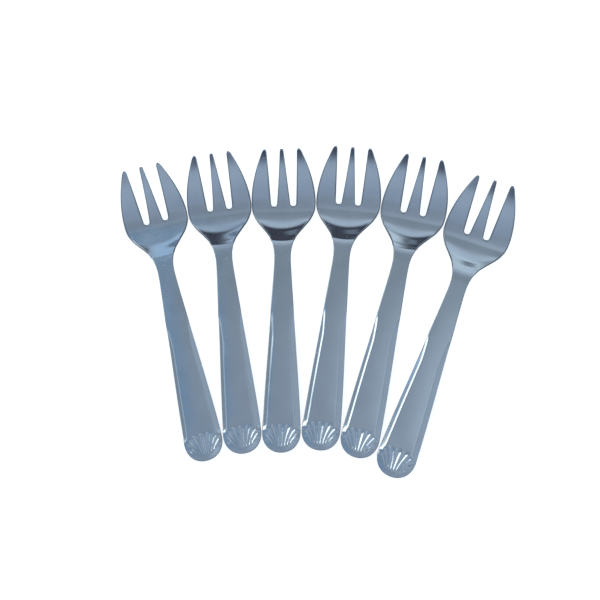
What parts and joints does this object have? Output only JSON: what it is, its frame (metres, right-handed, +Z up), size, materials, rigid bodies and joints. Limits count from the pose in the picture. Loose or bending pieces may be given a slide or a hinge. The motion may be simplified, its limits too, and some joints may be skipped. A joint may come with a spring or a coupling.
{
  "type": "oyster fork set",
  "caption": "Small stamped steel oyster forks laid side by side in a fan, each with short upturned tines, a creased neck and a fluted shell on the rounded handle end.",
  "frame": {"origin": "middle of the set's footprint, on the plane that the forks lie on", "axes": "+Z up off the table, +Y from the handle ends to the tines, +X to the right along the row"},
  "size_m": [0.1832, 0.1512, 0.0172],
  "materials": {
    "steel": "polished with faint brushing"
  },
  "bodies": {
    "fork_1": {"fork_1": "steel"},
    "fork_2": {"fork_2": "steel"},
    "fork_3": {"fork_3": "steel"},
    "fork_4": {"fork_4": "steel"},
    "fork_5": {"fork_5": "steel"},
    "fork_6": {"fork_6": "steel"}
  },
  "joints": [
    {"name": "fork_1_lift", "type": "slide", "parent": "fork_3", "child": "fork_1", "axis": [0, 0, 1], "range_m": [0, 0.06]},
    {"name": "fork_2_lift", "type": "slide", "parent": "fork_3", "child": "fork_2", "axis": [0, 0, 1], "range_m": [0, 0.06]},
    {"name": "fork_4_lift", "type": "slide", "parent": "fork_3", "child": "fork_4", "axis": [0, 0, 1], "range_m": [0, 0.06]},
    {"name": "fork_5_lift", "type": "slide", "parent": "fork_3", "child": "fork_5", "axis": [0, 0, 1], "range_m": [0, 0.06]},
    {"name": "fork_6_lift", "type": "slide", "parent": "fork_3", "child": "fork_6", "axis": [0, 0, 1], "range_m": [0, 0.06]}
  ]
}
